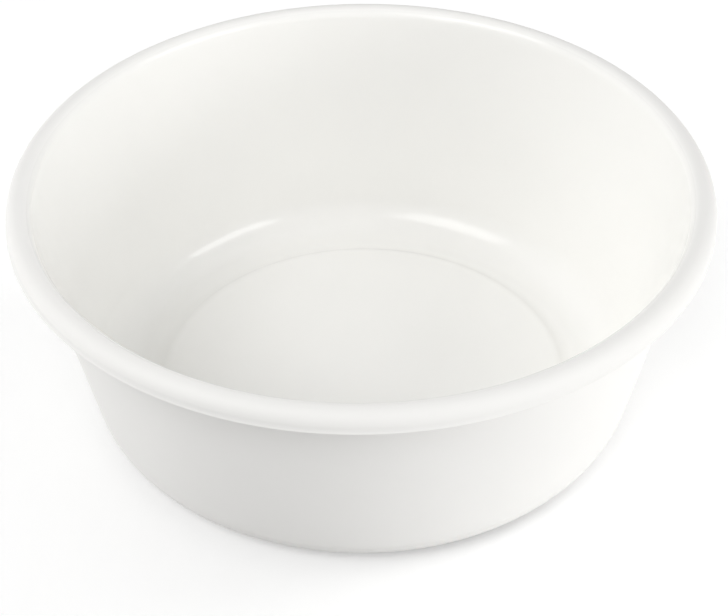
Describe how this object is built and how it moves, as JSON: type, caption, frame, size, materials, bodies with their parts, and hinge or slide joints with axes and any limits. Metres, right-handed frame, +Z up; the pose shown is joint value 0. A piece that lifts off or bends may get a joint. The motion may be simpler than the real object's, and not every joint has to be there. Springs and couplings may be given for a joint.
{
  "type": "washing up bowl",
  "caption": "Round open plastic washing up bowl with drafted sides, a broad rolled rim with a turned-down lip, a rounded heel and a flat raised floor.",
  "frame": {"origin": "centre of the standing surface, on the bowl's axis", "axes": "+Z up along the bowl's axis towards the mouth; +X and +Y are any two directions square to it, as the bowl is round"},
  "size_m": [0.35, 0.35, 0.13],
  "materials": {
    "bowl_plastic": "satin-gloss off-white moulded polypropylene"
  },
  "bodies": {
    "root": {"rim": "bowl_plastic", "side_wall": "bowl_plastic", "heel": "bowl_plastic", "stand_ring": "bowl_plastic", "floor": "bowl_plastic"}
  },
  "joints": []
}
